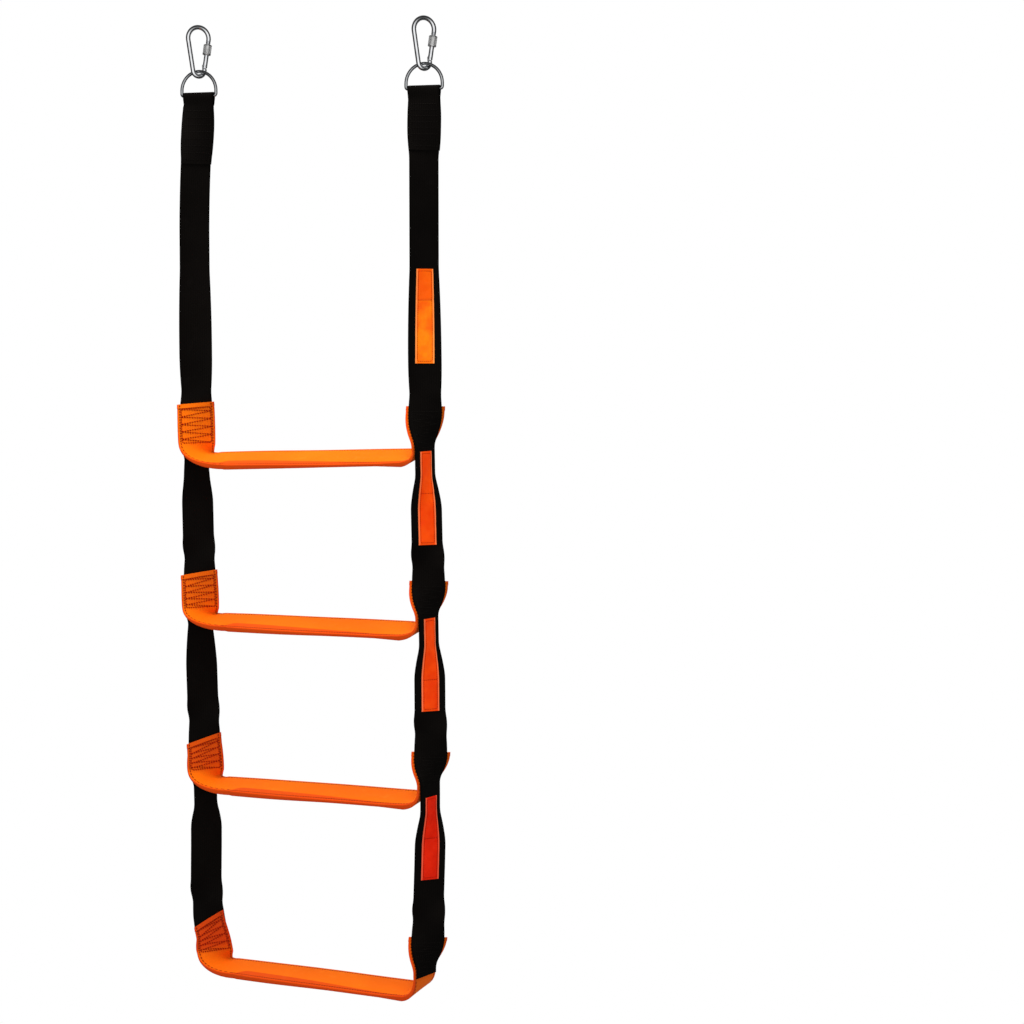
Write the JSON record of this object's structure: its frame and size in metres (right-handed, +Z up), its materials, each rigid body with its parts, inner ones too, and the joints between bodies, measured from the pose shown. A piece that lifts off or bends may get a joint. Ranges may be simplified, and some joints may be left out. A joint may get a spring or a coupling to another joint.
{
  "type": "webbing escape ladder",
  "caption": "Hanging escape ladder of black webbing side straps with stiffened orange webbing rungs, D-rings and screw-gate snap hooks.",
  "frame": {"origin": "halfway between the two points that the hooks hang from, at the inner top of each hook", "axes": "+Z up along the hanging straps, +X along the rungs to the right strap, -Y towards the climber"},
  "size_m": [0.4377, 0.0594, 1.4524],
  "materials": {
    "polished_steel": "polished",
    "nut_steel": "knurled, zinc plated",
    "pin_steel": "turned",
    "spring_steel": "oiled wire",
    "black_webbing": "woven, matte",
    "orange_webbing": "woven, matte",
    "slat_plastic": "extruded",
    "reflective_patch": "glossy retroreflective film"
  },
  "bodies": {
    "hook_left": {"hook_left": "polished_steel", "gate_pin_left": "pin_steel"},
    "gate_left": {"gate_left": "polished_steel", "gate_spring_left": "spring_steel"},
    "plunger_left": {"plunger_left": "pin_steel"},
    "nut_left": {"nut_left": "nut_steel"},
    "ring_left": {"ring_left": "polished_steel"},
    "hook_right": {"hook_right": "polished_steel", "gate_pin_right": "pin_steel"},
    "gate_right": {"gate_right": "polished_steel", "gate_spring_right": "spring_steel"},
    "plunger_right": {"plunger_right": "pin_steel"},
    "nut_right": {"nut_right": "nut_steel"},
    "ring_right": {"ring_right": "polished_steel"},
    "upper_straps": {"strap_left_0": "black_webbing", "strap_right_0": "black_webbing", "patch_left_1": "reflective_patch", "patch_right_1": "reflective_patch"},
    "section_1": {"strap_left_1": "black_webbing", "strap_right_1": "black_webbing", "rung_1": "orange_webbing", "slat_1": "slat_plastic", "patch_left_2": "reflective_patch", "patch_right_2": "reflective_patch"},
    "section_2": {"strap_left_2": "black_webbing", "strap_right_2": "black_webbing", "rung_2": "orange_webbing", "slat_2": "slat_plastic", "patch_left_3": "reflective_patch", "patch_right_3": "reflective_patch"},
    "section_3": {"strap_left_3": "black_webbing", "strap_right_3": "black_webbing", "rung_3": "orange_webbing", "slat_3": "slat_plastic", "patch_left_4": "reflective_patch", "patch_right_4": "reflective_patch"},
    "section_4": {"strap_left_4": "black_webbing", "strap_right_4": "black_webbing", "rung_4": "orange_webbing", "slat_4": "slat_plastic"}
  },
  "joints": [
    {"name": "ring_left_on_hook", "type": "hinge", "parent": "hook_left", "child": "ring_left", "pos_m": [-0.183, 0, -0.0622], "axis": [1, 0, 0], "range_deg": [-25, 25]},
    {"name": "straps_on_ring_left", "type": "hinge", "parent": "ring_left", "child": "upper_straps", "pos_m": [-0.183, 0, -0.0983], "axis": [1, 0, 0], "range_deg": [-60, 60]},
    {"name": "ring_right_on_straps", "type": "hinge", "parent": "upper_straps", "child": "ring_right", "pos_m": [0.183, 0, -0.0983], "axis": [1, 0, 0], "range_deg": [-60, 60]},
    {"name": "hook_right_on_ring", "type": "hinge", "parent": "ring_right", "child": "hook_right", "pos_m": [0.183, 0, -0.0622], "axis": [1, 0, 0], "range_deg": [-25, 25]},
    {"name": "fold_1", "type": "hinge", "parent": "upper_straps", "child": "section_1", "pos_m": [0, 0.0012, -0.544], "axis": [1, 0, 0], "range_deg": [-75, 75]},
    {"name": "fold_2", "type": "hinge", "parent": "section_1", "child": "section_2", "pos_m": [0, 0.0012, -0.795], "axis": [1, 0, 0], "range_deg": [-75, 75]},
    {"name": "fold_3", "type": "hinge", "parent": "section_2", "child": "section_3", "pos_m": [0, 0.0012, -1.044], "axis": [1, 0, 0], "range_deg": [-75, 75]},
    {"name": "fold_4", "type": "hinge", "parent": "section_3", "child": "section_4", "pos_m": [0, 0.0012, -1.326], "axis": [1, 0, 0], "range_deg": [-75, 75]},
    {"name": "gate_left_open", "type": "hinge", "parent": "hook_left", "child": "gate_left", "pos_m": [-0.17644, 0.00782, -0.0541], "axis": [0.766, -0.6428, 0], "range_deg": [0, 26], "stiffness_Nm_per_rad": 0.15, "springref_deg": -20.05},
    {"name": "nut_left_screw", "type": "slide", "parent": "gate_left", "child": "nut_left", "axis": [0.1004, 0.1196, 0.9877], "range_m": [0, 0.0055]},
    {"name": "plunger_left_slide", "type": "slide", "parent": "gate_left", "child": "plunger_left", "axis": [0.1004, 0.1196, 0.9877], "range_m": [0, 0.0006]},
    {"name": "gate_right_open", "type": "hinge", "parent": "hook_right", "child": "gate_right", "pos_m": [0.18956, 0.00782, -0.0541], "axis": [0.766, -0.6428, 0], "range_deg": [0, 26], "stiffness_Nm_per_rad": 0.15, "springref_deg": -20.05},
    {"name": "nut_right_screw", "type": "slide", "parent": "gate_right", "child": "nut_right", "axis": [0.1004, 0.1196, 0.9877], "range_m": [0, 0.0055]},
    {"name": "plunger_right_slide", "type": "slide", "parent": "gate_right", "child": "plunger_right", "axis": [0.1004, 0.1196, 0.9877], "range_m": [0, 0.0006]}
  ],
  "couplings": [
    {"joint": "ring_right_on_straps", "follows": "straps_on_ring_left", "ratio": -1},
    {"joint": "hook_right_on_ring", "follows": "ring_left_on_hook", "ratio": -1},
    {"joint": "plunger_left_slide", "follows": "gate_left_open", "m_per_rad": 0.00125},
    {"joint": "plunger_right_slide", "follows": "gate_right_open", "m_per_rad": 0.00125}
  ]
}
